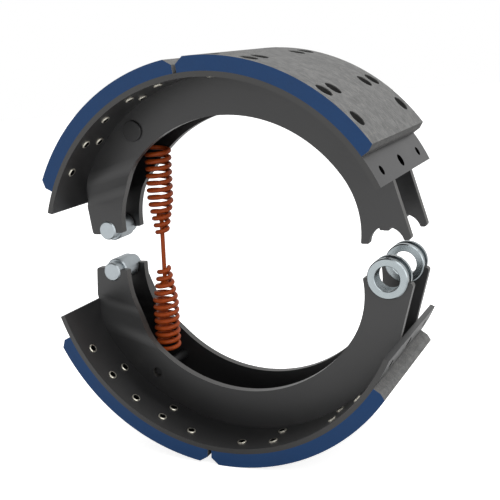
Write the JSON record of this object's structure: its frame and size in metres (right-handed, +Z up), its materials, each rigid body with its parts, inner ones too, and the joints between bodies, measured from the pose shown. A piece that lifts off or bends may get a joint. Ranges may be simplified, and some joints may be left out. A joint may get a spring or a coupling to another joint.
{
  "type": "brake shoe assembly",
  "caption": "Two riveted drum brake shoes with cam rollers and anchor bushes, linked by a pair of coil return springs.",
  "frame": {"origin": "on the anchor pin's axis, midway between the two anchor bushes", "axes": "+X from the cam end to the anchor end, +Y along the drum's axis and the anchor pin, +Z up from the lower shoe to the upper shoe"},
  "size_m": [0.3729, 0.18, 0.413],
  "materials": {
    "shoe_steel": "satin charcoal primer",
    "lining": "ground friction material with blue painted sides",
    "rivet": "plated",
    "roller": "ground, satin",
    "pin_steel": "painted with the shoe",
    "bush_steel": "turned, zinc plated",
    "spring_paint": "orange powder paint"
  },
  "bodies": {
    "anchor_bushes": {"front_anchor_bush": "bush_steel", "rear_anchor_bush": "bush_steel", "spring_link": "spring_paint"},
    "lower_shoe": {"lower_table": "shoe_steel", "lower_front_web": "shoe_steel", "lower_rear_web": "shoe_steel", "lower_cam_lining": "lining", "lower_anchor_lining": "lining", "lower_cam_rivets": "rivet", "lower_anchor_rivets": "rivet", "lower_spring_pin": "pin_steel", "lower_return_spring": "spring_paint"},
    "upper_shoe": {"upper_table": "shoe_steel", "upper_front_web": "shoe_steel", "upper_rear_web": "shoe_steel", "upper_cam_lining": "lining", "upper_anchor_lining": "lining", "upper_cam_rivets": "rivet", "upper_anchor_rivets": "rivet", "upper_spring_pin": "pin_steel", "upper_return_spring": "spring_paint"},
    "lower_roller": {"lower_cam_roller": "roller"},
    "upper_roller": {"upper_cam_roller": "roller"}
  },
  "joints": [
    {"name": "lower_shoe_pivot", "type": "hinge", "parent": "anchor_bushes", "child": "lower_shoe", "pos_m": [0, 0, 0], "axis": [0, 1, 0], "range_deg": [-3, 0], "stiffness_Nm_per_rad": 800, "springref_deg": 2.86, "deforming": ["lower_return_spring"]},
    {"name": "upper_shoe_swing", "type": "hinge", "parent": "anchor_bushes", "child": "upper_shoe", "pos_m": [-0.3207, 0, 0.0162], "axis": [0, 1, 0], "range_deg": [0, 5.7], "deforming": ["upper_return_spring"]},
    {"name": "lower_roller_spin", "type": "hinge", "parent": "lower_shoe", "child": "lower_roller", "pos_m": [-0.3207, 0, -0.0073], "axis": [0, 1, 0], "continuous": true},
    {"name": "upper_roller_spin", "type": "hinge", "parent": "upper_shoe", "child": "upper_roller", "pos_m": [-0.3207, 0, 0.0397], "axis": [0, 1, 0], "continuous": true}
  ]
}
